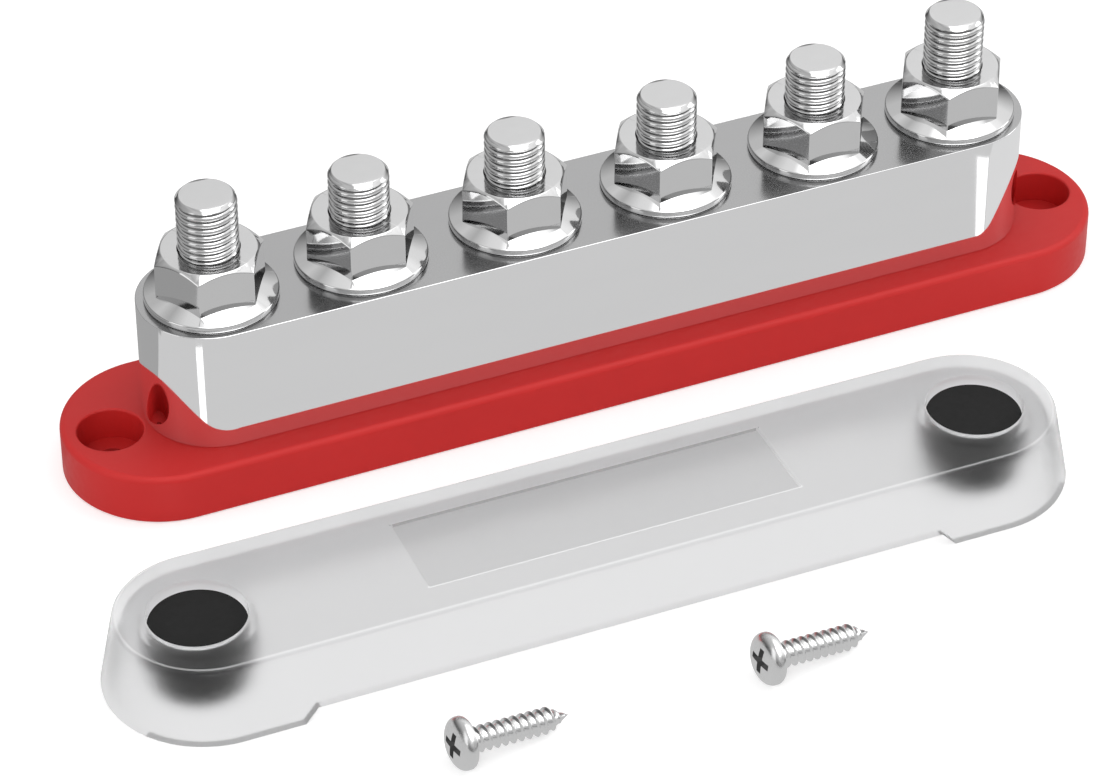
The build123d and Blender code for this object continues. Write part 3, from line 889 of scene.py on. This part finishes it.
def dome_light():
    """Brightness by direction: dark low down, bright overhead, more in front and on the right, and the spots."""
    m = Nodes("dome")
    unit = m.new("ShaderNodeVectorMath", operation="NORMALIZE")
    m.link(m.coord, unit.inputs[0])
    axes = m.new("ShaderNodeSeparateXYZ")
    m.link(unit.outputs["Vector"], axes.inputs["Vector"])
    ramp = m.new("ShaderNodeValToRGB")
    stops = ramp.color_ramp.elements
    while len(stops) < len(DOME_LEVELS):
        stops.new(0.5)
    for stop, (height, level) in zip(stops, DOME_LEVELS):
        stop.position = height
        stop.color = (level, level, level, 1)
    m.link(axes.outputs["Z"], ramp.inputs["Fac"])
    lean = m.math("MULTIPLY_ADD", axes.outputs["Y"], -DOME_FRONT, DOME_LEVEL)
    side = m.math("MULTIPLY_ADD", axes.outputs["X"], DOME_RIGHT, lean)
    bright = m.math("MULTIPLY", side, ramp.outputs["Color"])
    for toward, edge, full, level in SPOTS:
        near = m.new("ShaderNodeVectorMath", {1: Vector(toward).normalized()}, operation="DOT_PRODUCT")
        m.link(unit.outputs["Vector"], near.inputs[0])
        spot = m.new("ShaderNodeMapRange", {"From Min": edge, "From Max": full, "To Max": level},
                     interpolation_type="SMOOTHSTEP")
        m.link(near.outputs["Value"], spot.inputs["Value"])
        bright = m.math("ADD", bright, spot.outputs["Result"])
    return m.glowing(m.math("MULTIPLY", bright, direct_only(m, 1.0)))


def make_dome():
    """Soft studio surroundings for reflections."""
    verts, faces = [], []
    for j in range(DOME_UP + 1):
        el = radians(DOME_FOOT + (90 - DOME_FOOT) * j / DOME_UP)
        for i in range(DOME_ACROSS):
            az = 2 * pi * i / DOME_ACROSS
            r, z = DOME_RADIUS * cos(el), DOME_RADIUS * sin(el)
            verts.append((r * cos(az), r * sin(az), z))
    for j in range(DOME_UP):
        low, high = j * DOME_ACROSS, (j + 1) * DOME_ACROSS
        for i in range(DOME_ACROSS):
            k = (i + 1) % DOME_ACROSS
            faces.append((low + i, low + k, high + k, high + i))
    card_object("dome", verts, faces, dome_light())


def softbox(name, toward, width, height, level):
    """A bright upright sheet facing the object from a direction."""
    back = Vector(toward).normalized()
    right = Vector((0, 0, 1)).cross(back).normalized()
    up = back.cross(right)
    verts = [tuple(back * SOFTBOX_DISTANCE + right * sx * width / 2 + up * sy * height / 2)
             for sx, sy in ((-1, -1), (1, -1), (1, 1), (-1, 1))]
    card_object(name, verts, [(0, 1, 2, 3)], glow(name, level))


def floor_card(name, points, level):
    """A patch of floor that looks darker or brighter in reflections."""
    verts = [(x * MM, y * MM, CARD_LIFT) for x, y in points]
    card_object(name, verts, [tuple(range(len(verts)))], glow(name, level))


def lamp(name, at, power):
    """A soft round lamp that mirrors don't show."""
    data = bpy.data.lights.new(name, "AREA")
    data.shape = "DISK"
    data.size = LAMP_SIZE
    data.energy = power
    thing = in_scene(name, data)
    thing.location = at
    thing.rotation_euler = (Vector(LAMP_TARGET) - Vector(at)).to_track_quat("-Z", "Y").to_euler()
    thing.visible_glossy = False


def make_world():
    """White to the eye, and a little less as light on the object."""
    world = bpy.data.worlds.new("studio")
    world.use_nodes = True
    bpy.context.scene.world = world
    tree = world.node_tree
    sky = tree.nodes["Background"]
    strength = tree.nodes.new("ShaderNodeMapRange")
    strength.inputs["To Min"].default_value = WORLD_LEVEL
    tree.links.new(seen_by_eye(tree), strength.inputs["Value"])
    tree.links.new(strength.outputs["Result"], sky.inputs["Strength"])
    sky.inputs["Color"].default_value = (1, 1, 1, 1)


def make_camera():
    data = bpy.data.cameras.new("camera")
    camera = in_scene("camera", data)
    bpy.context.scene.camera = camera
    back = Vector((sin(CAM_AZ) * cos(CAM_EL), -cos(CAM_AZ) * cos(CAM_EL), sin(CAM_EL)))
    level = Vector((0, 0, 1)).cross(back).normalized()
    upright = back.cross(level)
    right = level * cos(CAM_ROLL) + upright * sin(CAM_ROLL)
    up = upright * cos(CAM_ROLL) - level * sin(CAM_ROLL)
    spot = (Vector(CAM_TARGET) + back * CAM_DISTANCE) * MM
    camera.matrix_world = Matrix(((right.x, up.x, back.x, spot.x), (right.y, up.y, back.y, spot.y),
                                  (right.z, up.z, back.z, spot.z), (0, 0, 0, 1)))
    data.sensor_fit = "HORIZONTAL"
    data.sensor_width = CAM_SENSOR
    data.lens = CAM_FOCAL_PX / PHOTO_WIDTH * CAM_SENSOR
    data.shift_x = (PHOTO_WIDTH / 2 - CAM_CENTRE[0]) / PHOTO_WIDTH
    data.shift_y = (CAM_CENTRE[1] - PHOTO_HEIGHT / 2) / PHOTO_WIDTH
    data.clip_start, data.clip_end = CAM_CLIP


# ---------------------------------------------------------------- the scene

make_base()
make_bar()
make_studs()
make_nuts()
make_cover()
make_sockets()
make_screws()
for end in SIDES:
    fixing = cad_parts[f"fixing_screw_{end}"]
    fixing.data.materials.clear()
    fixing.data.materials.append(SCREW)

make_floor()
make_dome()
for name, (toward, width, height, level) in SOFTBOXES.items():
    softbox(name, toward, width, height, level)
for name, (points, level) in FLOOR_CARDS.items():
    floor_card(name, points, level)
make_world()
for name, (at, power) in LAMPS.items():
    lamp(name, at, power)
make_camera()
bpy.context.scene.view_settings.view_transform = "Standard"
